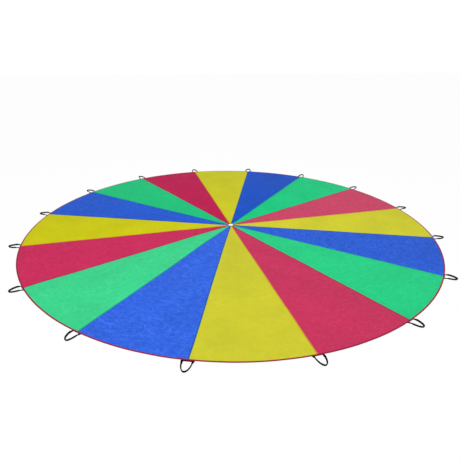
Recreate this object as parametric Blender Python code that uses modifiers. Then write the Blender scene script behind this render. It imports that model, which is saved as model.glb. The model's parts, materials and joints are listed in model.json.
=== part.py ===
# Play parachute: a flat round canopy sewn from sixteen gores in four colours, with a
# bound rim, a bound vent hole in the middle, and a webbing hand loop at every seam.
# Lengths are in metres and +Z is up. The origin is on the floor under the vent.
# Seams are numbered counter-clockwise from +X, and gore n starts at seam n.

import math

import bmesh
import bpy
from mathutils import Vector

# Canopy
canopy_radius = 2.5         # five metres across
gore_count = 16
cloth_thickness = 0.0004
seam_lap = 0.012            # how far one gore laps over the next
lap_ramp = 0.003            # plan width of the step up onto the lap
lap_clearance = 0.001       # from that step to the edge of the gore below
lap_room_share = 0.9        # of a gore's width, the most that its two laps may take
fit_gap = 0.0003            # between layers that touch
gore_arc_steps = 7          # straight pieces across a gore at the rim

# Binding tape, folded over the rim and over the edge of the vent
tape_thickness = 0.0004
tape_edge_chamfer = 0.0003
rim_binding_width = 0.014
vent_diameter = 0.062
vent_binding_width = 0.010
fold_clearance = 0.0015     # from a gore's edge to the fold of the tape
rim_steps = 128
vent_steps = 48
rim_ramp = 0.035            # where the cloth comes down from the hem to the floor
vent_ramp = 0.008
ramp_clearance = 0.0005     # from the tape's edge to the start of a ramp

# Hand loops of soft tubular webbing, which is pressed flat where it is sewn on
loop_width = 0.020
loop_thickness = 0.006
loop_corner = 0.0016        # of the loop's section, cut off to make it nearly oval
loop_spacing = 0.082        # between the two legs, centre to centre
loop_reach = 0.112          # from the hinge line to the middle of the tip
loop_lead = 0.005           # level start of each leg
loop_twist_length = 0.034   # along a leg, from level to fully tilted
loop_tilt = math.radians(75)
loop_roundness = 1.0        # exponent of the arch: lower is squarer
loop_points = 37
path_samples = 600

# The strips that sew the loops to the underside of the hem
strap_width = 0.020
strap_thickness = 0.0013
hinge_offset = 0.003        # from the rim out to the line where a loop bends
base_overrun = 0.002        # of the sewn strip past each leg
base_edge_bevel = 0.0003

# How far each loop's tip lies to one side, as shares of the leg spacing, and how much
# further out than usual its strip is sewn, as shares of the strap width.
# Both lists are used twice round the rim, so opposite loops lie alike.
loop_lean_shares = (-0.11, 0.05, 0.12, -0.03, 0.02, 0.0, -0.05, 0.12)
sewn_out_shares = (0.0, 0.05, 0.0, 0.4, 0.05, 0.0, 0.05, 0.0)

# Gore colours in order from seam 1, and the other finishes: sRGB hex and roughness
gore_finishes = (
    ("red", "C42A55", 0.55),
    ("green", "23C57E", 0.55),
    ("blue", "2B57CE", 0.55),
    ("yellow", "CBC722", 0.55),
)
binding_finish = ("8C1F3C", 0.65)
webbing_finish = ("121215", 0.75)

# Sizes that follow from the ones above
vent_radius = vent_diameter / 2
gore_angle = 2 * math.pi / gore_count
layer_step = cloth_thickness + fit_gap
binding_height = 2 * tape_thickness + 2 * cloth_thickness + 3 * fit_gap
rim_lift = strap_thickness + fit_gap
hinge_height = rim_lift + binding_height
base_length = loop_spacing + strap_width + 2 * base_overrun


def clear_scene():
    for old in list(bpy.data.objects):
        bpy.data.objects.remove(old, do_unlink=True)


def make_collection(name):
    collection = bpy.data.collections.new(name)
    bpy.context.scene.collection.children.link(collection)
    return collection


def linear_colour(hex_text):
    channels = [int(hex_text[i:i + 2], 16) / 255 for i in (0, 2, 4)]
    linear = [c / 12.92 if c <= 0.04045 else ((c + 0.055) / 1.055) ** 2.4 for c in channels]
    return (*linear, 1.0)


def make_material(name, hex_text, roughness):
    material = bpy.data.materials.new(name)
    material.use_nodes = True
    shader = material.node_tree.nodes["Principled BSDF"]
    shader.inputs["Base Color"].default_value = linear_colour(hex_text)
    shader.inputs["Roughness"].default_value = roughness
    shader.inputs["Metallic"].default_value = 0.0
    material.diffuse_color = linear_colour(hex_text)
    return material


def add_object(name, data, material, collection):
    part = bpy.data.objects.new(name, data)
    if material:
        data.materials.append(material)
    collection.objects.link(part)
    return part


def add_from_bmesh(name, shape, material, collection):
    mesh = bpy.data.meshes.new(name)
    shape.to_mesh(mesh)
    shape.free()
    return add_object(name, mesh, material, collection)


def seam_angle(number):
    return (number - 1) * gore_angle


def gore_rows():
    # Radius and height of the cloth's underside, from the vent out to the rim.
    vent_edge = vent_radius + vent_binding_width + ramp_clearance
    hem_edge = canopy_radius - rim_binding_width - ramp_clearance
    vent_height = tape_thickness + fit_gap
    hem_height = rim_lift + tape_thickness + fit_gap
    return [
        (vent_radius + tape_thickness + fold_clearance, vent_height),
        (vent_edge, vent_height),
        (vent_edge + vent_ramp, 0),
        (hem_edge - rim_ramp, 0),
        (hem_edge, hem_height),
        (canopy_radius - tape_thickness - fold_clearance, hem_height),
    ]


def lap_scale(radius):
    # Close to the vent a gore is too narrow for two full laps, so they narrow with it.
    room = radius * gore_angle * lap_room_share
    return min(1, room / (seam_lap + lap_clearance + lap_ramp))


def gore_columns(radius):
    # Angle from the first seam and height of the lap, across a gore at one radius.
    # The first edge lies under the last gore, and the last edge lies over the next.
    scale = lap_scale(radius)
    half_lap = seam_lap / 2 * scale
    top_inset = half_lap + lap_clearance * scale
    foot_inset = top_inset + lap_ramp * scale
    under_edge = math.asin(-half_lap / radius)
    step_foot = gore_angle - math.asin(foot_inset / radius)
    step_top = gore_angle - math.asin(top_inset / radius)
    over_edge = gore_angle + math.asin(half_lap / radius)
    flat = [
        (under_edge + (step_foot - under_edge) * i / gore_arc_steps, 0)
        for i in range(gore_arc_steps + 1)
    ]
    return flat + [(step_top, layer_step), (over_edge, layer_step)]


def build_gore(number, material, collection):
    rows = gore_rows()
    columns = [gore_columns(radius) for radius, height in rows]
    across = len(columns[0]) - 1
    along = len(rows) - 1
    shape = bmesh.new()
    bmesh.ops.create_grid(shape, x_segments=across, y_segments=along, size=1)
    for vertex in shape.verts:
        column = round((vertex.co.x + 1) / 2 * across)
        row = round((vertex.co.y + 1) / 2 * along)
        radius, height = rows[row]
        angle, lap_height = columns[row][column]
        turn = seam_angle(number) + angle
        vertex.co = Vector((radius * math.cos(turn), radius * math.sin(turn), height + lap_height))
    bmesh.ops.recalc_face_normals(shape, faces=shape.faces)
    if sum(face.normal.z for face in shape.faces) < 0:
        bmesh.ops.reverse_faces(shape, faces=shape.faces)
    colour_name = gore_finishes[(number - 1) % len(gore_finishes)][0]
    gore = add_from_bmesh(f"gore_{number:02d}_{colour_name}", shape, material, collection)
    cloth = gore.modifiers.new("cloth", "SOLIDIFY")
    cloth.thickness = cloth_thickness
    cloth.offset = 1
    cloth.use_even_offset = True
    return gore


def turned_part(name, profile, steps, material, collection):
    # The profile is a closed outline in the XZ plane, turned once round Z.
    mesh = bpy.data.meshes.new(name)
    count = len(profile)
    points = [(x, 0, z) for x, z in profile]
    edges = [(i, (i + 1) % count) for i in range(count)]
    mesh.from_pydata(points, edges, [])
    part = add_object(name, mesh, material, collection)
    turn = part.modifiers.new("turn", "SCREW")
    turn.axis = "Z"
    turn.angle = 2 * math.pi
    turn.screw_offset = 0
    turn.steps = steps
    turn.render_steps = steps
    turn.use_merge_vertices = True
    turn.merge_threshold = fit_gap / 10
    return part


def tape_outline(edge_radius, width, foot, inward):
    # Tape folded over an edge: two legs of one width, joined by the fold.
    top = foot + binding_height
    chamfer = tape_edge_chamfer
    corners = [
        (width, top),
        (chamfer, top),
        (0, top - chamfer),
        (0, foot + chamfer),
        (chamfer, foot),
        (width, foot),
        (width, foot + tape_thickness),
        (tape_thickness, foot + tape_thickness),
        (tape_thickness, top - tape_thickness),
        (width, top - tape_thickness),
    ]
    if inward:
        return [(edge_radius - x, z) for x, z in corners]
    return [(edge_radius + x, z) for x, z in reversed(corners)]


def build_rim_binding(material, collection):
    outline = tape_outline(canopy_radius, rim_binding_width, rim_lift, inward=True)
    return turned_part("rim_binding", outline, rim_steps, material, collection)


def build_vent_binding(material, collection):
    outline = tape_outline(vent_radius, vent_binding_width, 0, inward=False)
    return turned_part("vent_binding", outline, vent_steps, material, collection)


def loop_outline(lean):
    # Plan of a loop from leg to leg: out from the hinge line, and sideways.
    half = loop_spacing / 2
    arch = loop_reach - loop_lead
    outline = [(0, -half)]
    for i in range(path_samples + 1):
        turn = math.pi * i / path_samples
        rise = max(math.sin(turn), 0) ** loop_roundness
        outline.append((loop_lead + arch * rise, -half * math.cos(turn) + lean * rise ** 2))
    outline.append((0, half))
    return outline


def even_points(outline, count):
    # The same line cut into equal steps, as (distance, out, sideways).
    distances = [0]
    for a, b in zip(outline, outline[1:]):
        distances.append(distances[-1] + math.dist(a, b))
    total = distances[-1]
    points = []
    segment = 0
    for i in range(count):
        goal = total * i / (count - 1)
        while segment < len(outline) - 2 and distances[segment + 1] < goal:
            segment += 1
        share = (goal - distances[segment]) / (distances[segment + 1] - distances[segment])
        a, b = outline[segment], outline[segment + 1]
        points.append((goal, a[0] + (b[0] - a[0]) * share, a[1] + (b[1] - a[1]) * share))
    return points, total


def loop_tilt_at(distance, total):
    # Level at the hem, then the outer edge of the webbing stands up.
    from_leg = min(distance, total - distance) - loop_lead
    share = min(max(from_leg / loop_twist_length, 0), 1)
    return loop_tilt * share * share * (3 - 2 * share)


def section_corners():
    # Outline of the webbing's section, from the lower left and clockwise.
    right = loop_width / 2
    top = loop_thickness / 2
    in_right = right - loop_corner
    in_top = top - loop_corner
    return [
        (-right, -in_top),
        (-right, in_top),
        (-in_right, top),
        (in_right, top),
        (right, in_top),
        (right, -in_top),
        (in_right, -top),
        (-in_right, -top),
    ]


def height_on_floor(tilt):
    # Of the section's middle, when its lowest corner touches the floor.
    return max(x * math.sin(tilt) + z * math.cos(tilt) for x, z in section_corners())


def loop_section(collection):
    corners = section_corners()
    curve = bpy.data.curves.new("loop_section", "CURVE")
    curve.dimensions = "2D"
    outline = curve.splines.new("POLY")
    outline.points.add(len(corners) - 1)
    for point, (x, y) in zip(outline.points, corners):
        point.co = (x, y, 0, 1)
    outline.use_cyclic_u = True
    section = add_object("loop_section", curve, None, collection)
    section.hide_render = True
    section.display_type = "WIRE"
    return section


def place_at_hinge(part, number):
    # The origin goes on the line where the loop bends, with +X pointing outwards.
    # The webbing bends up round the edge of the hem, so the line is level with its top.
    angle = seam_angle(number)
    sewn_out = sewn_out_shares[(number - 1) % len(sewn_out_shares)] * strap_width
    hinge_radius = canopy_radius + hinge_offset + sewn_out
    along = Vector((math.cos(angle), math.sin(angle), 0)) * hinge_radius
    part.location = along + Vector((0, 0, hinge_height))
    part.rotation_euler = (0, 0, angle)


def build_handle_loop(number, section, material, collection):
    lean = loop_lean_shares[(number - 1) % len(loop_lean_shares)] * loop_spacing
    points, total = even_points(loop_outline(lean), loop_points)
    curve = bpy.data.curves.new(f"handle_loop_{number:02d}", "CURVE")
    curve.dimensions = "3D"
    curve.twist_mode = "Z_UP"
    curve.bevel_mode = "OBJECT"
    curve.bevel_object = section
    curve.use_fill_caps = True
    spline = curve.splines.new("POLY")
    spline.points.add(len(points) - 1)
    for point, (distance, out, side) in zip(spline.points, points):
        tilt = loop_tilt_at(distance, total)
        point.co = (out, side, height_on_floor(tilt) - hinge_height, 1)
        point.tilt = -tilt
    loop = add_object(curve.name, curve, material, collection)
    place_at_hinge(loop, number)
    return loop


def build_handle_base(number, material, collection):
    # The strip ends just short of the hinge line, so the loop can turn.
    shape = bmesh.new()
    bmesh.ops.create_cube(shape, size=1)
    size = Vector((strap_width, base_length, strap_thickness))
    bmesh.ops.scale(shape, vec=size, verts=shape.verts)
    middle = Vector((-fit_gap - strap_width / 2, 0, strap_thickness / 2 - hinge_height))
    bmesh.ops.translate(shape, vec=middle, verts=shape.verts)
    base = add_from_bmesh(f"handle_base_{number:02d}", shape, material, collection)
    place_at_hinge(base, number)
    edge = base.modifiers.new("edge", "BEVEL")
    edge.width = base_edge_bevel
    edge.segments = 1
    return base


def main():
    clear_scene()
    parts = make_collection("play_parachute")
    guides = make_collection("guides")
    cloths = [
        make_material(f"{name}_taffeta", hex_text, roughness)
        for name, hex_text, roughness in gore_finishes
    ]
    tape = make_material("red_binding_tape", *binding_finish)
    webbing = make_material("black_webbing", *webbing_finish)
    section = loop_section(guides)
    for number in range(1, gore_count + 1):
        build_gore(number, cloths[(number - 1) % len(cloths)], parts)
        build_handle_base(number, webbing, parts)
        build_handle_loop(number, section, webbing, parts)
    build_rim_binding(tape, parts)
    build_vent_binding(tape, parts)
    bpy.context.view_layer.update()


main()
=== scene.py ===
import json
import math

import bpy
from mathutils import Matrix, Vector, noise


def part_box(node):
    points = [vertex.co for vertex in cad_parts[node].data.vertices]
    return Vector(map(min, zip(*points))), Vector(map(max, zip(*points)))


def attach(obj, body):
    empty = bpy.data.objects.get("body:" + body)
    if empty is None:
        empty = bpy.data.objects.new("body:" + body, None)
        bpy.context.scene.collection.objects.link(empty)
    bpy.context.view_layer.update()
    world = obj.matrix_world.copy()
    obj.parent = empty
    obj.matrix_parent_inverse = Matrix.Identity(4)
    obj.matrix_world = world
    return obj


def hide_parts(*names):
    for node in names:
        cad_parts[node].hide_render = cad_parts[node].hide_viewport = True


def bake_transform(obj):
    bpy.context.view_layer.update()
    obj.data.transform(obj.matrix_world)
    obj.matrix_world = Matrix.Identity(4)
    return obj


# A play parachute laid out on a studio floor, dressed round its CAD frame.
# Metres, +Z up, the origin on the floor under the vent.

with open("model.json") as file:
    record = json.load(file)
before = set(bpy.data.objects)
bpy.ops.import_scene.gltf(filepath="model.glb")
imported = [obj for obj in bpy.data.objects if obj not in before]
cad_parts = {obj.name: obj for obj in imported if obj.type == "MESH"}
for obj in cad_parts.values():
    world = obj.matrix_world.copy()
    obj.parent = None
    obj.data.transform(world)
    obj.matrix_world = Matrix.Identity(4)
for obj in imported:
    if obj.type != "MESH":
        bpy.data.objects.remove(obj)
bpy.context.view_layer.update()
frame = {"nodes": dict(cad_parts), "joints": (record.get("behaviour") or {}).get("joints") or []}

goreNodes = sorted(name for name in frame["nodes"] if name.startswith("gore_"))
hinges = [joint for joint in frame["joints"] if joint["type"] == "hinge"]
seamAngles = [math.atan2(joint["pos_m"][1], joint["pos_m"][0]) for joint in hinges]
goreAngle = 2 * math.pi / len(goreNodes)
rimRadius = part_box("rim_binding")[1].x
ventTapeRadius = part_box("vent_binding")[1].x
print("frame loaded:", len(goreNodes), "gores,", len(hinges), "hand loops")


# small helpers

def smooth(share):
    share = min(max(share, 0.0), 1.0)
    return share * share * (3 - 2 * share)


def mix(a, b, share):
    return a + (b - a) * share


def linearColour(hexText):
    channels = [int(hexText[i:i + 2], 16) / 255 for i in (0, 2, 4)]
    linear = [c / 12.92 if c <= 0.04045 else ((c + 0.055) / 1.055) ** 2.4 for c in channels]
    return (*linear, 1.0)


def addNode(tree, kind, settings=None, links=None):
    # settings and links go by input name or number, anything else is the node's own setting
    node = tree.nodes.new(kind)
    for key, value in (settings or {}).items():
        if isinstance(key, int) or key in node.inputs:
            node.inputs[key].default_value = value
        else:
            setattr(node, key, value)
    for key, socket in (links or {}).items():
        tree.links.new(socket, node.inputs[key])
    return node


def addPiece(name, points, faces, material, uvs=None, edges=()):
    mesh = bpy.data.meshes.new(name)
    mesh.from_pydata(points, list(edges), faces)
    if uvs:
        layer = mesh.uv_layers.new(name="clothUV")
        corners = [0] * len(mesh.loops)
        mesh.loops.foreach_get("vertex_index", corners)
        flat = [value for vertex in corners for value in uvs[vertex]]
        layer.data.foreach_set("uv", flat)
    mesh.materials.append(material)
    mesh.shade_smooth()
    piece = bpy.data.objects.new(name, mesh)
    bpy.context.scene.collection.objects.link(piece)
    return piece


def gridFaces(rows, columns, closedRows=False, closedColumns=False):
    # quads between rows of points, wound so that they face along row x column
    faces = []
    for row in range(rows if closedRows else rows - 1):
        nextRow = (row + 1) % rows
        for column in range(columns if closedColumns else columns - 1):
            nextColumn = (column + 1) % columns
            faces.append((
                row * columns + column,
                row * columns + nextColumn,
                nextRow * columns + nextColumn,
                nextRow * columns + column,
            ))
    return faces


def thicken(piece, thickness):
    # the cloth grows upwards from the side that was modelled
    wall = piece.modifiers.new("wall", "SOLIDIFY")
    wall.thickness = thickness
    wall.offset = 1
    wall.use_even_offset = False
    return wall


# camera at the photograph's place, found from the rim and the ends of the seams

cameraSettings = {
    "distance": 5.1016,
    "elevation": math.radians(24.417),
    "target": (-0.0097, -0.1487, 0.0),
    "turn": math.radians(-15.388),     # of the whole view round the canopy's middle
    "roll": math.radians(0.626),
    "focalPixels": 404.94,
    "imagePixels": 460,
    "sensor": 36.0,
}


def addCamera(settings):
    rise = settings["elevation"]
    forward = Vector((0, math.cos(rise), -math.sin(rise)))
    place = Vector(settings["target"]) - forward * settings["distance"]
    right = Vector((1, 0, 0))
    up = right.cross(forward)
    roll = settings["roll"]
    rolledRight = right * math.cos(roll) + up * math.sin(roll)
    rolledUp = up * math.cos(roll) - right * math.sin(roll)
    turn = Matrix.Rotation(settings["turn"], 4, "Z")
    pose = Matrix((rolledRight, rolledUp, -forward)).transposed().to_4x4()
    pose.translation = place
    data = bpy.data.cameras.new("photoCamera")
    data.sensor_width = settings["sensor"]
    data.lens = settings["sensor"] * settings["focalPixels"] / settings["imagePixels"]
    camera = bpy.data.objects.new("photoCamera", data)
    camera.matrix_world = turn @ pose
    bpy.context.scene.collection.objects.link(camera)
    bpy.context.scene.camera = camera


addCamera(cameraSettings)
print("camera set")


# materials

taffetaSettings = {
    "red": "C41452",
    "green": "0AC97F",
    "blue": "0A57D6",
    "yellow": "CAC70A",
    "threadSpacing": 0.004,       # woven at about 0.2 mm; drawn 20 times coarser so that it shows
    "threadRelief": 0.00008,
    "crinkleLength": 0.105,       # ridged crinkles, rather longer across a gore, with the weft
    "crinkleWidth": 0.052,
    "crinkleRelief": 0.0010,
    "crinkleSpan": (0.1, 1.2),    # of crinkle and dent together, from a hollow to a crest
    "dentSize": 0.045,            # small dents between the crinkles
    "rumpleSize": 0.10,           # wider, softer dents in every direction
    "rumpleRelief": 0.0050,
    "mottleSize": 0.50,
    "mottleShares": (0.94, 1.05),     # of the dye where it took least and most
    "patchSize": 0.28,            # some patches are more crinkled than others
    # painted light and shade of the crinkles: how much lighter the dye is drawn
    # along a crest than in a dent
    "paintedCrinkleShade": {"red": 0.22, "green": 0.20, "blue": 0.50, "yellow": 0.11},
    # how much of the painted sheen's white keeps to the crests, as a painted highlight
    "paintedCrestSheen": {"red": 0.6, "green": 0.7, "blue": 1.5, "yellow": 0.5},
    "lapBlend": 0.45,             # how much the cloth below a lap tints it
    "roughness": (0.56, 0.42),    # in the flat and along a crest
    "gloss": 0.02,
    # gore by gore, matched to measurements of the photograph: white of a painted sheen, and
    # painted light and shade that makes its dye look lighter or darker
    "paintedSheenShares": (
        0.049, 0.0, 0.003, 0.011, 0.0, 0.007, 0.017, 0.0,
        0.019, 0.046, 0.036, 0.030, 0.029, 0.017, 0.022, 0.022,
    ),
    # painted light and shade, gore by gore: how much lighter or darker the dye is drawn
    "paintedLightShares": (
        1.06, 1.04, 0.85, 1.04, 0.93, 0.95, 0.94, 1.01,
        1.03, 1.05, 1.07, 0.95, 0.97, 1.01, 0.96, 1.05,
    ),
}

webbingSettings = {
    "colour": "020203",
    "worn": "0B0B0C",
    "roughness": 0.62,
    "gloss": 0.04,
    "ribSpacing": 0.0026,         # picks of the weave, about 1.3 mm on the real webbing
    "ribRelief": 0.00022,
}

tapeSettings = {
    "colour": "8E0F32",
    "worn": "A52848",
    "roughness": 0.6,
    "gloss": 0.15,
    "ribSpacing": 0.003,          # ribs of about 0.8 mm, drawn coarser so that they show
    "ribRelief": 0.00012,
}

threadSettings = {
    "hem": "8E2441",
    "twistScale": 900.0,          # a turn of the ply in about 1 mm
    "paintedShadeShare": 0.75,           # of the colour: painted shade down between the plies
    "roughness": 0.7,
    "gloss": 0.3,
}


def newMaterial(name):
    material = bpy.data.materials.new(name)
    material.use_nodes = True
    tree = material.node_tree
    tree.nodes.clear()
    return material, tree


def finishMaterial(tree, shader):
    addNode(tree, "ShaderNodeOutputMaterial", links={"Surface": shader.outputs["BSDF"]})


def waveScale(spacing):
    # Blender's bands repeat every 2 pi / 20 at scale 1
    return 2 * math.pi / 20 / spacing


def woven(tree, spacing):
    # warp and weft as two crossing sets of bands on the cloth's own UV map
    uv = addNode(tree, "ShaderNodeUVMap", {"uv_map": "clothUV"})
    bands = []
    for direction in ("X", "Y"):
        bands.append(addNode(
            tree, "ShaderNodeTexWave",
            {"bands_direction": direction, "Scale": waveScale(spacing), "Distortion": 0.0},
            {"Vector": uv.outputs["UV"]},
        ))
    return addNode(
        tree, "ShaderNodeMath", {"operation": "MAXIMUM"},
        {0: bands[0].outputs["Fac"], 1: bands[1].outputs["Fac"]},
    )


def taffeta(name, colourName, belowName):
    # Polyester taffeta: thin, plain woven and calendered, so it has a soft sheen, part real gloss
    # and part a painted sheen in the colour, shows fine crinkles where it was folded, and lets
    # the cloth under a lap show.
    s = taffetaSettings
    material, tree = newMaterial(name)
    place = addNode(tree, "ShaderNodeTexCoord")
    mottle = addNode(
        tree, "ShaderNodeTexNoise",
        {"Scale": 1 / s["mottleSize"], "Detail": 5.0, "Roughness": 0.62},
        {"Vector": place.outputs["Object"]},
    )
    uneven = addNode(
        tree, "ShaderNodeMapRange", {"From Min": 0.36, "From Max": 0.64},
        {"Value": mottle.outputs["Fac"]},
    )
    rumple = addNode(
        tree, "ShaderNodeTexNoise",
        {"Scale": 1 / s["rumpleSize"], "Detail": 2.0, "Distortion": 0.3},
        {"Vector": place.outputs["Object"]},
    )
    uv = addNode(tree, "ShaderNodeUVMap", {"uv_map": "clothUV"})
    weftWise = addNode(
        tree, "ShaderNodeMapping",
        {"Scale": (1 / s["crinkleLength"], 1 / s["crinkleWidth"], 1.0)},
        {"Vector": uv.outputs["UV"]},
    )
    ridges = addNode(
        tree, "ShaderNodeTexNoise",
        {"noise_type": "RIDGED_MULTIFRACTAL", "Scale": 1.0, "Detail": 2.5, "Roughness": 0.6,
         "Distortion": 0.5, "Offset": 1.0, "Gain": 1.5},
        {"Vector": weftWise.outputs["Vector"]},
    )
    patches = addNode(
        tree, "ShaderNodeTexNoise", {"Scale": 1 / s["patchSize"], "Detail": 1.0},
        {"Vector": place.outputs["Object"]},
    )
    crumpled = addNode(
        tree, "ShaderNodeMapRange", {"From Min": 0.35, "From Max": 0.62, "To Min": 0.35},
        {"Value": patches.outputs["Fac"]},
    )
    crease = addNode(
        tree, "ShaderNodeMapRange", {"From Min": 1.3, "From Max": 2.3},
        {"Value": ridges.outputs["Fac"]},
    )
    dents = addNode(
        tree, "ShaderNodeTexNoise",
        {"Scale": 1 / s["dentSize"], "Detail": 2.0, "Roughness": 0.6, "Distortion": 0.8},
        {"Vector": place.outputs["Object"]},
    )
    # crumpled patches have the stronger creases, and small dents lie over all
    crinkle = addNode(
        tree, "ShaderNodeMath", {"operation": "MULTIPLY_ADD"},
        {0: crease.outputs["Result"], 1: crumpled.outputs["Result"], 2: dents.outputs["Fac"]},
    )
    # colour: the dye, a little uneven, with painted light and a painted sheen along the crests
    # of the crinkles and painted shade in their dents
    base = linearColour(s[colourName])
    least, most = s["mottleShares"]
    darker = tuple(c * least for c in base[:3]) + (1.0,)
    lighter = tuple(min(c * most, 1.0) for c in base[:3]) + (1.0,)
    below = linearColour(s[belowName])[:3]
    tinted = tuple(c * b / max(below) for c, b in zip(base, below)) + (1.0,)
    dye = addNode(
        tree, "ShaderNodeMix", {"data_type": "RGBA", 6: darker, 7: lighter},
        {0: uneven.outputs["Result"]},
    )

    def alongCrinkle(spread):
        # a factor about 1, lower in a hollow and higher on a crest, for painted shade and light
        low, high = s["crinkleSpan"]
        return addNode(
            tree, "ShaderNodeMapRange",
            {"From Min": low, "From Max": high, "To Min": 1 - spread / 2, "To Max": 1 + spread / 2},
            {"Value": crinkle.outputs[0]},
        )

    # painted light on the crests and painted shade in the dents of the crinkles
    paintedCrinkleShading = alongCrinkle(s["paintedCrinkleShade"][colourName])
    # painted light and shade: each gore's own share, times the crinkles' painted shade
    gorePaintedLight = addNode(tree, "ShaderNodeAttribute", {"attribute_name": "paintedLightAndShade"})
    paintedLightAndShade = addNode(
        tree, "ShaderNodeMath", {"operation": "MULTIPLY"},
        {0: paintedCrinkleShading.outputs["Result"], 1: gorePaintedLight.outputs["Fac"]},
    )
    dyeWithPaintedShade = addNode(
        tree, "ShaderNodeVectorMath", {"operation": "SCALE"},
        {0: dye.outputs[2], "Scale": paintedLightAndShade.outputs[0]},
    )
    # painted sheen: white mixed into the colour, gore by gore, most along the crests
    paintedSheen = addNode(tree, "ShaderNodeAttribute", {"attribute_name": "paintedSheen"})
    # painted highlight: more of the painted sheen's white along the crests
    paintedCrestHighlight = alongCrinkle(s["paintedCrestSheen"][colourName])
    paintedSheenShare = addNode(
        tree, "ShaderNodeMath", {"operation": "MULTIPLY"},
        {0: paintedSheen.outputs["Fac"], 1: paintedCrestHighlight.outputs["Result"]},
    )
    withPaintedSheen = addNode(
        tree, "ShaderNodeMix", {"data_type": "RGBA", 7: (1.0, 1.0, 1.0, 1.0)},
        {0: paintedSheenShare.outputs[0], 6: dyeWithPaintedShade.outputs["Vector"]},
    )
    lap = addNode(tree, "ShaderNodeAttribute", {"attribute_name": "lap"})
    lapShare = addNode(
        tree, "ShaderNodeMath", {"operation": "MULTIPLY", 1: s["lapBlend"]},
        {0: lap.outputs["Fac"]},
    )
    colour = addNode(
        tree, "ShaderNodeMix", {"data_type": "RGBA", 7: tinted},
        {0: lapShare.outputs[0], 6: withPaintedSheen.outputs[2]},
    )
    # relief: wide dents, crinkles on them, and the weave over all
    weave = woven(tree, s["threadSpacing"])
    weaveBump = addNode(
        tree, "ShaderNodeBump", {"Distance": s["threadRelief"], "Strength": 0.8},
        {"Height": weave.outputs[0]},
    )
    crinkleBump = addNode(
        tree, "ShaderNodeBump", {"Distance": s["crinkleRelief"], "Strength": 0.8},
        {"Height": crinkle.outputs[0], "Normal": weaveBump.outputs["Normal"]},
    )
    rumpleBump = addNode(
        tree, "ShaderNodeBump", {"Distance": s["rumpleRelief"], "Strength": 0.8},
        {"Height": rumple.outputs["Fac"], "Normal": crinkleBump.outputs["Normal"]},
    )
    inFlat, onCrest = s["roughness"]
    roughness = addNode(
        tree, "ShaderNodeMapRange", {"To Min": inFlat, "To Max": onCrest},
        {"Value": crinkle.outputs[0]},
    )
    shader = addNode(
        tree, "ShaderNodeBsdfPrincipled",
        {"Specular IOR Level": s["gloss"]},
        {
            "Base Color": colour.outputs[2],
            "Roughness": roughness.outputs["Result"],
            "Normal": rumpleBump.outputs["Normal"],
        },
    )
    finishMaterial(tree, shader)
    return material


def ribbed(name, settings):
    # Narrow woven goods, webbing or tape: ribs run across the strip, edges a little worn.
    material, tree = newMaterial(name)
    uv = addNode(tree, "ShaderNodeUVMap", {"uv_map": "clothUV"})
    place = addNode(tree, "ShaderNodeTexCoord")
    ribs = addNode(
        tree, "ShaderNodeTexWave",
        {"bands_direction": "Y", "Scale": waveScale(settings["ribSpacing"]), "Distortion": 0.6,
         "Detail": 1.0, "Detail Scale": 2.0},
        {"Vector": uv.outputs["UV"]},
    )
    fuzz = addNode(
        tree, "ShaderNodeTexNoise", {"Scale": 1 / settings["ribSpacing"], "Detail": 3.0},
        {"Vector": place.outputs["Object"]},
    )
    wear = addNode(
        tree, "ShaderNodeMath", {"operation": "MULTIPLY"},
        {0: ribs.outputs["Fac"], 1: fuzz.outputs["Fac"]},
    )
    wearShare = addNode(
        tree, "ShaderNodeMath", {"operation": "MULTIPLY", 1: 0.55}, {0: wear.outputs[0]}
    )
    colour = addNode(
        tree, "ShaderNodeMix",
        {"data_type": "RGBA", 6: linearColour(settings["colour"]),
         7: linearColour(settings["worn"])},
        {0: wearShare.outputs[0]},
    )
    bump = addNode(
        tree, "ShaderNodeBump", {"Distance": settings["ribRelief"], "Strength": 1.0},
        {"Height": ribs.outputs["Fac"]},
    )
    shader = addNode(
        tree, "ShaderNodeBsdfPrincipled",
        {"Roughness": settings["roughness"], "Specular IOR Level": settings["gloss"]},
        {"Base Color": colour.outputs[2], "Normal": bump.outputs["Normal"]},
    )
    finishMaterial(tree, shader)
    return material


def sewingThread(name, hexText):
    # Spun polyester thread: matt, twisted, with painted shade down between the plies.
    s = threadSettings
    material, tree = newMaterial(name)
    place = addNode(tree, "ShaderNodeTexCoord")
    twist = addNode(
        tree, "ShaderNodeTexNoise", {"Scale": s["twistScale"], "Detail": 2.0},
        {"Vector": place.outputs["Object"]},
    )
    base = linearColour(hexText)
    # painted shade between the plies, laid on by the twist's noise
    paintedPlyShade = tuple(c * s["paintedShadeShare"] for c in base[:3]) + (1.0,)
    colour = addNode(
        tree, "ShaderNodeMix", {"data_type": "RGBA", 6: paintedPlyShade, 7: base},
        {0: twist.outputs["Fac"]},
    )
    shader = addNode(
        tree, "ShaderNodeBsdfPrincipled",
        {"Roughness": s["roughness"], "Specular IOR Level": s["gloss"]},
        {"Base Color": colour.outputs[2]},
    )
    finishMaterial(tree, shader)
    return material


colourOrder = [name.split("_")[-1] for name in goreNodes]
taffetas = {}
for number, colourName in enumerate(colourOrder):
    belowName = colourOrder[(number + 1) % len(colourOrder)]
    if colourName not in taffetas:
        taffetas[colourName] = taffeta(f"{colourName}PolyesterTaffeta", colourName, belowName)
webbing = ribbed("blackPolypropyleneWebbing", webbingSettings)
bindingTape = ribbed("crimsonBindingTape", tapeSettings)
seamThreads = {
    colourName: sewingThread(f"{colourName}SeamThread", taffetaSettings[colourName])
    for colourName in taffetas
}
hemThread = sewingThread("crimsonHemThread", threadSettings["hem"])
print("materials made")


# how the cloth lies: one height for every place, shared by gores, tapes and stitches

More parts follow.
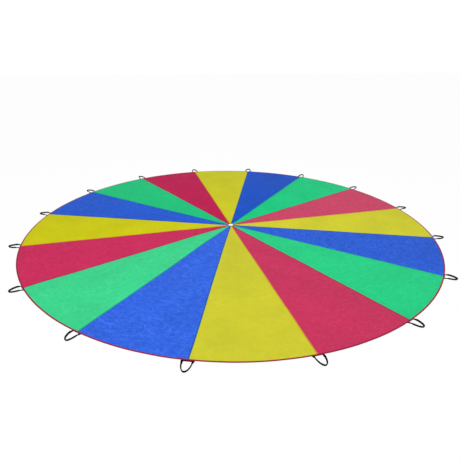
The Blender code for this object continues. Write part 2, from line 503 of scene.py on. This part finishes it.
# which slice of the noise each wave, crease or drift is drawn from
slices = {
    "swell": 0.7,
    "patch": 9.1,
    "bendX": 4.2,
    "bendY": 6.8,
    "crease": 2.3,
    "crinkle": 5.9,
    "hemWave": 13.5,
    "hemRipple": 17.2,
    "ventWave": 23.0,
    "pucker": 29.0,
    "driftX": 33.0,
    "driftY": 37.0,
    "tapePucker": 41.0,
    "tapeEdge": 43.0,
}

lie = {
    "base": 0.0003,               # the seams' thread keeps the cloth off the floor
    "swellSize": 0.45,
    "swellHeight": 0.007,
    "swellPower": 1.3,            # above 1 leaves more of the cloth flat between swells
    "creaseSize": 0.19,
    "creaseHeight": 0.0014,
    "creasePower": 7,             # a high power makes a sharp crest
    "crinkleSize": 0.07,
    "crinkleHeight": 0.0008,
    "crinklePower": 3,
    "bend": 0.05,                 # creases wander by this much
    "bendScale": 3.1,
    "patchSize": 0.9,             # some areas are more crumpled than others
    "patchLeast": 0.35,           # share of the creases' height that every area has
    "seamFlat": 0.008,            # half width of the stiff band along a seam
    "seamEase": 0.045,
    "puckerSize": 0.03,
    "puckerHeight": 0.0011,
    "puckerReach": 0.022,
    "puckerTurn": 3.0,            # so that no two seams pucker alike
    "puckerSide": 0.6,            # and neither do the two sides of one
    "driftSize": 0.8,             # seams aren't quite straight on the floor
    "drift": 0.006,
    "driftEase": 0.18,
    "rimStill": 0.02,             # no drift this close to the rim or to the vent's tape
    "ventStill": 0.01,
    "hemEase": 0.07,
    "hemSettled": 0.004,          # the cloth lies as the tape does this far before it
    "ventEase": 0.05,
    "ventSettled": 0.002,
}

hem = {
    "tapeWidth": 0.014,
    "tapeThickness": 0.00035,
    "height": 0.0018,             # of the folded tape, outside
    "lift": 0.00025,              # the thread below it keeps it off the floor
    "clothLift": 0.00045,         # from the tape's underside to the cloth in it
    "waveSize": 0.24,
    "waveHeight": 0.0022,
    "rippleSize": 0.06,
    "rippleHeight": 0.0007,
    "overWebbing": 0.00145,       # raised where a handle is sewn below
    "webbingHalf": 0.058,
    "webbingEase": 0.07,
}

ventTapeWidth = 0.010

vent = {
    "radius": ventTapeRadius - ventTapeWidth,
    "lift": 0.0060,               # sixteen laps meet here and hold the ring up
    "waveHeight": 0.0012,
    "waves": 7.0,
}


def noiseAt(x, y, size, layer):
    return noise.noise((x / size, y / size, slices[layer]))


def freeHeight(x, y):
    # of cloth that lies free: wide swells, and creases and crinkles with sharp crests
    swell = max(noiseAt(x, y, lie["swellSize"], "swell"), 0) ** lie["swellPower"]
    crumpled = smooth(0.5 + noiseAt(x, y, lie["patchSize"], "patch"))
    patch = mix(lie["patchLeast"], 1.0, crumpled)
    bendSize = 1 / lie["bendScale"]
    bentX = x + lie["bend"] * noiseAt(x, y, bendSize, "bendX")
    bentY = y + lie["bend"] * noiseAt(x, y, bendSize, "bendY")
    crease = (1 - abs(noiseAt(bentX, bentY, lie["creaseSize"], "crease"))) ** lie["creasePower"]
    crinkle = (1 - abs(noiseAt(bentX, bentY, lie["crinkleSize"], "crinkle"))) ** lie["crinklePower"]
    return (
        lie["base"] + lie["swellHeight"] * swell
        + patch * (lie["creaseHeight"] * crease + lie["crinkleHeight"] * crinkle)
    )


def hemHeight(angle):
    # underside of the folded tape round the rim
    x, y = rimRadius * math.cos(angle), rimRadius * math.sin(angle)
    wave = max(noiseAt(x, y, hem["waveSize"], "hemWave"), 0)
    ripple = 0.5 + 0.5 * noiseAt(x, y, hem["rippleSize"], "hemRipple")
    away = rimRadius * abs(math.remainder(angle, goreAngle))
    over = 1 - smooth((away - hem["webbingHalf"]) / hem["webbingEase"])
    laid = hem["lift"] + hem["waveHeight"] * wave + hem["rippleHeight"] * ripple
    return mix(laid, hem["overWebbing"], over)


def ventHeight(angle):
    # one unit of the noise is one wave round the vent
    size = 2 * math.pi / vent["waves"]
    wave = noiseAt(math.cos(angle), math.sin(angle), size, "ventWave")
    return vent["lift"] + vent["waveHeight"] * (0.5 + 0.5 * wave)


def clothHeight(radius, angle):
    # underside of the cloth
    seam = round(angle / goreAngle) * goreAngle
    away = radius * abs(math.sin(angle - seam))
    onSeam = freeHeight(radius * math.cos(seam), radius * math.sin(seam))
    open_ = freeHeight(radius * math.cos(angle), radius * math.sin(angle))
    height = mix(onSeam, open_, smooth((away - lie["seamFlat"]) / lie["seamEase"]))
    reach = max(away - lie["seamFlat"], 0) / lie["puckerReach"]
    onSide = slices["pucker"] + (angle > seam) * lie["puckerSide"]
    pucker = noise.noise((radius / lie["puckerSize"], seam * lie["puckerTurn"], onSide))
    height += lie["puckerHeight"] * (0.5 + 0.5 * pucker) * reach * math.exp(1 - reach)
    hemStart = rimRadius - hem["tapeWidth"] - lie["hemEase"]
    hemShare = smooth((radius - hemStart) / (lie["hemEase"] - lie["hemSettled"]))
    ventShare = 1 - smooth((radius - ventTapeRadius - lie["ventSettled"]) / lie["ventEase"])
    height = mix(height, hemHeight(angle) + hem["clothLift"], hemShare)
    return mix(height, ventHeight(angle) + hem["clothLift"], ventShare)


def drifted(x, y):
    # a laid cloth's seams wander by a few millimetres, but not at the rim or the vent
    radius = math.hypot(x, y)
    share = smooth((rimRadius - lie["rimStill"] - radius) / lie["driftEase"])
    share *= smooth((radius - ventTapeRadius - lie["ventStill"]) / lie["driftEase"])
    reach = lie["drift"] * share
    return (
        x + noiseAt(x, y, lie["driftSize"], "driftX") * reach,
        y + noiseAt(x, y, lie["driftSize"], "driftY") * reach,
    )


def laidPoint(radius, angle, lift=0.0):
    x, y = drifted(radius * math.cos(angle), radius * math.sin(angle))
    return (x, y, clothHeight(radius, angle) + lift)


# gores

gore = {
    "thickness": 0.0003,
    "lap": 0.012,
    "lapStep": 0.00065,
    "tuck": 0.0042,               # how far the lower cloth goes in below a lap, past the stitches
    "lapRamp": 0.003,
    "rampShare": 0.3,             # of the ramp's length, where it is up already
    "rampRoom": 1.35,             # ramps' lengths that a lap needs beside it
    "lapRoom": 0.9,               # close to the vent, the share of the width that laps may take
    "footShare": 0.47,
    "nearRoom": 1.15,             # above 1 leaves a little room between the columns of two seams
    "edgeGap": 0.0019,            # from the fold of a tape to the edge of the cloth
    "nearSeam": (0.0, 0.005, 0.011, 0.019, 0.030, 0.045),
    "across": 40,
    "rowSpacing": 0.0115,
    "endRows": 14,
    "endLength": 0.085,
    "blendStart": 0.97,
    "uvShift": 2.0,               # so that no two gores are creased alike
}


def goreRadii():
    inner = vent["radius"] + gore["edgeGap"]
    outer = rimRadius - gore["edgeGap"]
    ends = gore["endLength"]
    radii = [inner + ends * i / gore["endRows"] for i in range(gore["endRows"])]
    middle = round((outer - inner - 2 * ends) / gore["rowSpacing"])
    radii += [inner + ends + (outer - inner - 2 * ends) * i / middle for i in range(middle)]
    radii += [outer - ends + ends * i / gore["endRows"] for i in range(gore["endRows"] + 1)]
    return radii


def lapScale(radius):
    # the laps narrow with the gore where it gets too narrow for them
    room = radius * goreAngle * gore["lapRoom"]
    return min(1.0, room / (gore["lap"] + gore["lapRamp"] * gore["rampRoom"]))


def goreColumns(radius):
    # distance along the arc from the gore's first seam, lap height and lap share
    width = radius * goreAngle
    half = gore["lap"] / 2 * lapScale(radius)
    ramp = gore["lapRamp"] * lapScale(radius)
    foot = min(half + ramp, width * gore["footShare"])
    room = width / 2 - foot
    squeeze = min(1.0, room / (gore["nearSeam"][-1] * gore["nearRoom"]))
    near = [foot + d * squeeze for d in gore["nearSeam"]]
    start, end = near[-1], width - near[-1]
    field = [mix(start, end, i / gore["across"]) for i in range(1, gore["across"])]
    columns = [(-gore["tuck"] * lapScale(radius), 0.0, 0.0), (half, 0.0, 0.0)]
    columns += [(d, 0.0, 0.0) for d in near + field]
    columns += [(width - d, 0.0, 0.0) for d in reversed(near)]
    step = gore["lapStep"]
    columns += [(width - half - ramp * gore["rampShare"], step, 0.0), (width - half, step, 1.0)]
    columns += [(width + half, step, 1.0)]
    return columns


def buildGore(number, node):
    radii = goreRadii()
    points, uvs, laps = [], [], []
    for radius in radii:
        columns = goreColumns(radius)
        for distance, step, lap in columns:
            angle = seamAngles[number] + distance / radius
            points.append(laidPoint(radius, angle, step))
            uvs.append((distance - radius * goreAngle / 2 + number * gore["uvShift"], radius))
            laps.append(lap)
    faces = [face[::-1] for face in gridFaces(len(radii), len(columns))]
    piece = addPiece(f"cloth_{node}", points, faces, taffetas[colourOrder[number]], uvs)
    values = {
        "lap": laps,
        # painted sheen, gore by gore
        "paintedSheen": [taffetaSettings["paintedSheenShares"][number]] * len(points),
        # painted light and shade, gore by gore
        "paintedLightAndShade": [taffetaSettings["paintedLightShares"][number]] * len(points),
    }
    for name, shares in values.items():
        piece.data.attributes.new(name, "FLOAT", "POINT").data.foreach_set("value", shares)
    thicken(piece, gore["thickness"])
    return piece


def blendLine(number):
    # from the rim in to the vent, down the middle of a gore
    angle = seamAngles[number] + goreAngle / 2
    along = Vector((math.cos(angle), math.sin(angle), 0))
    return tuple(along * rimRadius * gore["blendStart"]), tuple(along * ventTapeRadius)


clothPieces = []
for number, node in enumerate(goreNodes):
    clothPieces.append(buildGore(number, node))
print("gores laid")


# stitches, one small thread lump at every step along a row

stitch = {"pitch": 0.005, "length": 0.0044, "width": 0.0006}


def buildStitchTree():
    tree = bpy.data.node_groups.new("stitchRow", "GeometryNodeTree")
    sockets = tree.interface
    sockets.new_socket("Rows", in_out="INPUT", socket_type="NodeSocketGeometry")
    for name in ("Pitch", "Length", "Width", "Height"):
        sockets.new_socket(name, in_out="INPUT", socket_type="NodeSocketFloat")
    sockets.new_socket("Thread", in_out="INPUT", socket_type="NodeSocketMaterial")
    sockets.new_socket("Stitches", in_out="OUTPUT", socket_type="NodeSocketGeometry")
    given = addNode(tree, "NodeGroupInput")
    row = addNode(tree, "GeometryNodeMeshToCurve", links={"Mesh": given.outputs["Rows"]})
    steps = addNode(
        tree, "GeometryNodeResampleCurve", {"mode": "LENGTH"},
        {"Curve": row.outputs["Curve"], "Length": given.outputs["Pitch"]},
    )
    lump = addNode(tree, "GeometryNodeMeshIcoSphere", {"Radius": 0.5, "Subdivisions": 1})
    size = addNode(
        tree, "ShaderNodeCombineXYZ",
        links={0: given.outputs["Length"], 1: given.outputs["Width"], 2: given.outputs["Height"]},
    )
    shaped = addNode(
        tree, "GeometryNodeTransform",
        links={"Geometry": lump.outputs["Mesh"], "Scale": size.outputs["Vector"]},
    )
    tangent = addNode(tree, "GeometryNodeInputTangent")
    turned = addNode(
        tree, "FunctionNodeAlignRotationToVector", {"axis": "X"},
        {"Vector": tangent.outputs["Tangent"]},
    )
    placed = addNode(
        tree, "GeometryNodeInstanceOnPoints",
        links={
            "Points": steps.outputs["Curve"],
            "Instance": shaped.outputs["Geometry"],
            "Rotation": turned.outputs["Rotation"],
        },
    )
    real = addNode(
        tree, "GeometryNodeRealizeInstances", links={"Geometry": placed.outputs["Instances"]}
    )
    soft = addNode(
        tree, "GeometryNodeSetShadeSmooth", links={"Geometry": real.outputs["Geometry"]}
    )
    threaded = addNode(
        tree, "GeometryNodeSetMaterial",
        links={"Geometry": soft.outputs["Geometry"], "Material": given.outputs["Thread"]},
    )
    addNode(tree, "NodeGroupOutput", links={"Stitches": threaded.outputs["Geometry"]})
    return tree


stitchTree = buildStitchTree()


def sew(name, rows, thread, height, pitch=None, closed=False):
    # rows are lists of points down the middle of the layers that the thread goes through
    points, edges = [], []
    for row in rows:
        first = len(points)
        points += row
        edges += [(first + i, first + i + 1) for i in range(len(row) - 1)]
        if closed:
            edges.append((len(points) - 1, first))
    guide = addPiece(name + "_rows", points, [], thread, edges=edges)
    pitch = pitch or stitch["pitch"]
    values = {
        "Pitch": pitch,
        "Length": stitch["length"] * pitch / stitch["pitch"],
        "Width": stitch["width"],
        "Height": height,
        "Thread": thread,
    }
    maker = guide.modifiers.new("sew", "NODES")
    maker.node_group = stitchTree
    for socket in stitchTree.interface.items_tree:
        if socket.in_out == "INPUT" and socket.name in values:
            maker[socket.identifier] = values[socket.name]
    bpy.context.view_layer.update()
    graph = bpy.context.evaluated_depsgraph_get()
    mesh = bpy.data.meshes.new_from_object(guide.evaluated_get(graph))
    bpy.data.objects.remove(guide)
    piece = bpy.data.objects.new(name, mesh)
    bpy.context.scene.collection.objects.link(piece)
    return piece


seam = {
    "rowOffset": 0.0038,          # of each row of stitches from the middle of the lap
    "threadStand": 0.00022,       # how far thread stands out of the cloth
    "end": 0.004,
}


def seamRow(number, offset):
    inner = ventTapeRadius + seam["end"]
    outer = rimRadius - hem["tapeWidth"] - seam["end"]
    middle = (gore["lapStep"] + gore["thickness"]) / 2
    row = []
    for radius in [inner] + [r for r in goreRadii() if inner < r < outer] + [outer]:
        across = offset * lapScale(radius)
        row.append(laidPoint(radius, seamAngles[number] + across / radius, middle))
    return row


def sewSeam(number):
    rows = [seamRow(number, side * seam["rowOffset"]) for side in (-1, 1)]
    stack = gore["lapStep"] + gore["thickness"]
    thread = seamThreads[colourOrder[number - 1]]      # of the gore that laps over
    return sew(
        f"seamStitches_{number + 1:02d}", rows, thread, stack + 2 * seam["threadStand"]
    )


for number, piece in enumerate(clothPieces):
    node = goreNodes[number]
    stitches = sewSeam((number + 1) % len(goreNodes))
    start, end = blendLine(number)
    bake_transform(piece)
    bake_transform(stitches)
    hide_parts(node)
print("seams sewn")


# binding tapes, folded over the rim and over the edge of the vent

binding = {
    "rimSteps": 2400,
    "ventSteps": 240,
    "foldPoints": 5,
    "legPoints": 4,
    "puckerSize": 0.024,
    "puckerHeight": 0.00035,
    "wanderSize": 0.072,
    "edgeWander": 0.0005,
    "rowFromEdge": 0.0024,        # stitches, from the tape's free edge
    "ventPitch": 0.004,           # of the stitches round the vent, closer than elsewhere
}


def tapeProfile(width):
    # down the middle of the tape: in along the top, round the fold, back underneath
    leg = hem["height"] / 2 - hem["tapeThickness"] / 2
    count = binding["legPoints"]
    profile = [(mix(width, leg, i / count), leg) for i in range(count)]
    for i in range(binding["foldPoints"]):
        turn = math.pi * i / (binding["foldPoints"] - 1)
        profile.append((leg - leg * math.sin(turn), leg * math.cos(turn)))
    profile += [(mix(leg, width, (i + 1) / count), -leg) for i in range(count)]
    return profile


def buildTape(name, edgeRadius, width, inwards, steps, heightAt):
    profile = tapeProfile(width)
    points, uvs = [], []
    for i in range(steps):
        angle = 2 * math.pi * i / steps
        x, y = edgeRadius * math.cos(angle), edgeRadius * math.sin(angle)
        pucker = noiseAt(x, y, binding["puckerSize"], "tapePucker") * binding["puckerHeight"]
        wander = noiseAt(x, y, binding["wanderSize"], "tapeEdge") * binding["edgeWander"]
        foot = heightAt(angle) + hem["height"] / 2
        around = 0.0
        for j, (inset, level) in enumerate(profile):
            free = inset / width
            reach = inset + wander * free
            radius = edgeRadius + (-reach if inwards else reach)
            # the top puckers most halfway across
            lift = max(pucker, 0) * 4 * free * (1 - free) if level > 0 else 0
            points.append((
                radius * math.cos(angle),
                radius * math.sin(angle),
                foot + level + lift,
            ))
            if j:
                around += math.dist(profile[j - 1], profile[j])
            uvs.append((around, angle * edgeRadius))
    faces = gridFaces(steps, len(profile), closedRows=True)
    if not inwards:
        faces = [face[::-1] for face in faces]
    piece = addPiece(name, points, faces, bindingTape, uvs)
    wall = thicken(piece, hem["tapeThickness"])
    wall.offset = 0
    return piece


def tapeRow(edgeRadius, inset, steps, heightAt):
    radius = edgeRadius + inset
    row = []
    for i in range(steps):
        angle = 2 * math.pi * i / steps
        height = heightAt(angle) + hem["height"] / 2
        row.append((radius * math.cos(angle), radius * math.sin(angle), height))
    return row


rimTape = buildTape(
    "rimBindingTape", rimRadius, hem["tapeWidth"], True, binding["rimSteps"], hemHeight
)
ventTape = buildTape(
    "ventBindingTape", vent["radius"], ventTapeWidth, False, binding["ventSteps"], ventHeight
)
through = hem["height"] + 2 * seam["threadStand"]
rimInset = binding["rowFromEdge"] - hem["tapeWidth"]
rimStitches = sew(
    "rimStitches", [tapeRow(rimRadius, rimInset, binding["rimSteps"], hemHeight)],
    hemThread, through, closed=True,
)
ventInset = ventTapeWidth - binding["rowFromEdge"]
ventStitches = sew(
    "ventStitches", [tapeRow(vent["radius"], ventInset, binding["ventSteps"], ventHeight)],
    hemThread, through, pitch=binding["ventPitch"], closed=True,
)
for tape, stitches, node, body, radius, width in (
    (rimTape, rimStitches, "rim_binding", "canopy", rimRadius, hem["tapeWidth"]),
    (ventTape, ventStitches, "vent_binding", "crown", vent["radius"], ventTapeWidth),
):
    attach(tape, body)
    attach(stitches, body)
    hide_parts(node)
print("tapes bound")


# hand loops of webbing, and the strip that each is sewn on under the hem

loop = {
    "width": 0.0185,              # soft tubular webbing, pressed flat where it is sewn on
    "thickness": 0.0085,
    "spacing": 0.082,
    "reach": 0.112,
    "lead": 0.005,
    "twistLength": 0.034,
    "tilt": math.radians(75),
    "roundness": 1.0,
    "leanShares": (-0.11, 0.05, 0.12, -0.03, 0.02, 0.0, -0.05, 0.12),
    "sewnLength": 0.018,          # of each leg, on the strip under the hem
    "sewnWidth": 0.020,
    "sewnThickness": 0.0006,
    "sewnHeight": 0.00068,        # underside of a leg where it lies on the strip
    "settle": 0.007,              # from the strip's edge to where the leg lies on the floor
    "bend": 0.009,                # length of a line from the hinge out along the loop
    "fineStep": 0.0008,
    "coarseStep": 0.0032,
    "fineReach": 0.012,
    "samples": 700,
}

strip = {"length": 0.106, "thickness": 0.0006, "gap": 0.0003, "steps": 36}


def roundedSection(width, thickness, points=4):
    # each rounded edge is drawn in this many steps, and each flat has a point in its middle
    corner = thickness / 2
    flat = width / 2 - corner
    section = []
    for side in (1, -1):
        for i in range(points + 1):
            turn = -math.pi / 2 + math.pi * i / points
            across = side * (flat + corner * math.cos(turn))
            section.append((across, side * corner * math.sin(turn)))
        section.append((0.0, side * corner))
    return section


def loopPlan(lean):
    # from the sewn end of one leg, round the tip, to the sewn end of the other
    half = loop["spacing"] / 2
    arch = loop["reach"] - loop["lead"]
    plan = [(-loop["sewnLength"], -half), (0.0, -half)]
    for i in range(loop["samples"] + 1):
        turn = math.pi * i / loop["samples"]
        rise = max(math.sin(turn), 0) ** loop["roundness"]
        plan.append((loop["lead"] + arch * rise, -half * math.cos(turn) + lean * rise ** 2))
    plan += [(0.0, half), (-loop["sewnLength"], half)]
    return plan


def loopStations(plan):
    # (distance, out, side) at fine steps near the hinge and coarser ones round the tip
    distances = [0.0]
    for a, b in zip(plan, plan[1:]):
        distances.append(distances[-1] + math.dist(a, b))
    total = distances[-1]
    fineEnd = loop["sewnLength"] + loop["fineReach"]
    goals = []
    fine = round(fineEnd / loop["fineStep"])
    goals += [fineEnd * i / fine for i in range(fine)]
    coarse = round((total - 2 * fineEnd) / loop["coarseStep"])
    goals += [fineEnd + (total - 2 * fineEnd) * i / coarse for i in range(coarse)]
    goals += [total - fineEnd + fineEnd * i / fine for i in range(fine + 1)]
    stations, segment = [], 0
    for goal in goals:
        while segment < len(plan) - 2 and distances[segment + 1] < goal:
            segment += 1
        share = (goal - distances[segment]) / (distances[segment + 1] - distances[segment])
        a, b = plan[segment], plan[segment + 1]
        stations.append((goal, mix(a[0], b[0], share), mix(a[1], b[1], share)))
    return stations, total


def tubeFaces(rings, around):
    faces = gridFaces(rings, around, closedColumns=True)
    faces.append(tuple(range(around)))
    faces.append(tuple(range((rings - 1) * around, rings * around))[::-1])
    return faces


def handleFrame(number):
    joint = hinges[number]
    angle = seamAngles[number]
    out = Vector((math.cos(angle), math.sin(angle), 0))
    side = Vector((-math.sin(angle), math.cos(angle), 0))
    place = Vector((joint["pos_m"][0], joint["pos_m"][1], 0))
    return place, out, side


def buildLoop(number):
    place, outWay, sideWay = handleFrame(number)
    up = Vector((0, 0, 1))
    lean = loop["leanShares"][number % len(loop["leanShares"])] * loop["spacing"]
    stations, total = loopStations(loopPlan(lean))
    section = roundedSection(loop["width"], loop["thickness"])
    points, uvs = [], []
    for i, (distance, out, side) in enumerate(stations):
        before, after = stations[max(i - 1, 0)], stations[min(i + 1, len(stations) - 1)]
        alongOut, alongSide = after[1] - before[1], after[2] - before[2]
        length = math.hypot(alongOut, alongSide)
        normal = (outWay * alongSide - sideWay * alongOut) / length
        fromHinge = min(distance, total - distance) - loop["sewnLength"]
        tilt = loop["tilt"] * smooth((fromHinge - loop["lead"]) / loop["twistLength"])
        settled = smooth(fromHinge / loop["settle"])
        thickness = mix(loop["sewnThickness"], loop["thickness"], settled)
        width = mix(loop["sewnWidth"], loop["width"], settled)
        foot = mix(loop["sewnHeight"], 0.0, settled)
        middle = foot + (width - thickness) / 2 * math.sin(tilt) + thickness / 2
        centre = place + outWay * out + sideWay * side + up * middle
        acrossWay = normal * math.cos(tilt) + up * math.sin(tilt)
        throughWay = up * math.cos(tilt) - normal * math.sin(tilt)
        wide, thick = width / loop["width"], thickness / loop["thickness"]
        around = 0.0
        for j, (across, depth) in enumerate(section):
            offset = acrossWay * across * wide + throughWay * depth * thick
            points.append(tuple(centre + offset))
            if j:
                around += math.dist(section[j - 1], section[j])
            uvs.append((around, distance))
    faces = tubeFaces(len(stations), len(section))
    return addPiece(f"handleWebbing_{number + 1:02d}", points, faces, webbing, uvs)


def buildStrip(number):
    place, outWay, sideWay = handleFrame(number)
    section = roundedSection(loop["sewnWidth"], strip["thickness"])
    middle = place - outWay * (strip["gap"] + loop["sewnWidth"] / 2)
    points, uvs = [], []
    for i in range(strip["steps"] + 1):
        along = strip["length"] * (i / strip["steps"] - 0.5)
        around = 0.0
        for j, (across, depth) in enumerate(section):
            height = strip["thickness"] / 2 + depth
            spot = middle + sideWay * along + outWay * across + Vector((0, 0, height))
            points.append(tuple(spot))
            if j:
                around += math.dist(section[j - 1], section[j])
            uvs.append((around, along))
    faces = [face[::-1] for face in tubeFaces(strip["steps"] + 1, len(section))]
    return addPiece(f"handleStrip_{number + 1:02d}", points, faces, webbing, uvs)


handleSewing = {
    # a box with a cross through it over each leg, and a row from one box to the other
    "boxWidth": 0.016,
    "inner": -0.0115,             # both from the rim, on the tape
    "outer": -0.0028,
    "height": 0.0006,
    "pitch": 0.003,
    "boxSteps": 6,
    "rowSteps": 20,
}


def sewHandle(number):
    hinge, outWay, sideWay = handleFrame(number)
    place = outWay * rimRadius
    s = handleSewing
    half, box = loop["spacing"] / 2, s["boxWidth"] / 2

    def spot(out, side):
        flat = place + outWay * out + sideWay * side
        angle = math.atan2(flat.y, flat.x)
        return (flat.x, flat.y, hemHeight(angle) + hem["height"])

    def line(a, b, steps):
        shares = [i / steps for i in range(steps + 1)]
        return [spot(mix(a[0], b[0], share), mix(a[1], b[1], share)) for share in shares]

    rows = []
    for leg in (-half, half):
        corners = [
            (s["inner"], leg - box), (s["outer"], leg - box),
            (s["outer"], leg + box), (s["inner"], leg + box),
        ]
        for a, b in ((0, 1), (1, 2), (2, 3), (3, 0), (0, 2), (1, 3)):
            rows.append(line(corners[a], corners[b], s["boxSteps"]))
    rows.append(line((s["outer"], box - half), (s["outer"], half - box), s["rowSteps"]))
    return sew(
        f"handleStitches_{number + 1:02d}", rows, hemThread, s["height"], pitch=s["pitch"]
    )


for number in range(len(hinges)):
    name = f"{number + 1:02d}"
    place, outWay, sideWay = handleFrame(number)
    webbingLoop = buildLoop(number)
    webbingStrip = buildStrip(number)
    stitches = sewHandle(number)
    lift = Vector((0, 0, hinges[number]["pos_m"][2]))     # a line from the hinge out along the loop
    start = place + lift
    end = start + outWay * loop["bend"]
    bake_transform(webbingLoop)
    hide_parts("handle_loop_" + name)
    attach(webbingStrip, "canopy")
    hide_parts("handle_base_" + name)
    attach(stitches, "canopy")
print("hand loops made")


# floor, world and lamps

stage = {
    "floorSize": 60.0,
    "floorDrop": 0.0004,
    "floorColour": "FBFBFB",
    "floorOwnLight": 0.93,        # share of the floor's white that doesn't come from lamps
    "ambient": 0.48,
}

softBoxes = {
    # place, width and watts
    "front": ((-0.8, -2.4, 4.6), 3.6, 92.0),
}

bounced = {
    # where the light comes from, its strength, and how wide it looks from the floor
    "overhead": ((-0.3, -0.6, 1.6), 0.85, math.radians(60)),
    "backRight": ((1.0, 1.2, 0.9), 0.20, math.radians(30)),
}


def buildFloor():
    half = stage["floorSize"] / 2
    drop = -stage["floorDrop"]
    corners = [(-half, -half, drop), (half, -half, drop), (half, half, drop), (-half, half, drop)]
    material, tree = newMaterial("studioFloor")
    light = addNode(tree, "ShaderNodeLightPath")
    seen = addNode(
        tree, "ShaderNodeMath", {"operation": "MAXIMUM"},
        {0: light.outputs["Is Camera Ray"], 1: light.outputs["Is Glossy Ray"]},
    )
    share = addNode(
        tree, "ShaderNodeMath", {"operation": "MULTIPLY", 1: stage["floorOwnLight"]},
        {0: seen.outputs[0]},
    )
    lit = addNode(tree, "ShaderNodeBsdfDiffuse", {"Color": linearColour(stage["floorColour"])})
    own = addNode(tree, "ShaderNodeEmission", {"Color": (1.0, 1.0, 1.0, 1.0), "Strength": 1.0})
    both = addNode(
        tree, "ShaderNodeMixShader",
        links={0: share.outputs[0], 1: lit.outputs["BSDF"], 2: own.outputs["Emission"]},
    )
    addNode(tree, "ShaderNodeOutputMaterial", links={"Surface": both.outputs["Shader"]})
    floor = addPiece("studioFloor", corners, [(0, 1, 2, 3)], material)


def buildWorld():
    world = bpy.data.worlds.new("studioWorld")
    bpy.context.scene.world = world
    world.use_nodes = True
    tree = world.node_tree
    tree.nodes.clear()
    light = addNode(tree, "ShaderNodeLightPath")
    seen = addNode(
        tree, "ShaderNodeMath", {"operation": "MAXIMUM"},
        {0: light.outputs["Is Camera Ray"], 1: light.outputs["Is Transmission Ray"]},
    )
    seen = addNode(
        tree, "ShaderNodeMath", {"operation": "MAXIMUM"},
        {0: seen.outputs[0], 1: light.outputs["Is Glossy Ray"]},
    )
    room = addNode(
        tree, "ShaderNodeBackground",
        {"Color": (1.0, 1.0, 1.0, 1.0), "Strength": stage["ambient"]},
    )
    white = addNode(
        tree, "ShaderNodeBackground", {"Color": (1.0, 1.0, 1.0, 1.0), "Strength": 1.0}
    )
    both = addNode(
        tree, "ShaderNodeMixShader",
        links={0: seen.outputs[0], 1: room.outputs[0], 2: white.outputs[0]},
    )
    addNode(tree, "ShaderNodeOutputWorld", links={"Surface": both.outputs["Shader"]})


def addLamp(name, kind, place, strength):
    data = bpy.data.lights.new(name, kind)
    data.energy = strength
    lamp = bpy.data.objects.new(name, data)
    lamp.location = place
    lamp.rotation_euler = (-Vector(place)).to_track_quat("-Z", "Y").to_euler()
    bpy.context.scene.collection.objects.link(lamp)
    return data


def buildLamps():
    for name, (place, size, watts) in softBoxes.items():
        data = addLamp(name + "SoftBox", "AREA", place, watts)
        data.shape = "SQUARE"
        data.size = size
    for name, (place, strength, width) in bounced.items():
        data = addLamp(name + "Light", "SUN", place, strength)
        data.angle = width


buildFloor()
buildWorld()
buildLamps()
bpy.context.scene.view_settings.view_transform = "Standard"
print("stage lit")
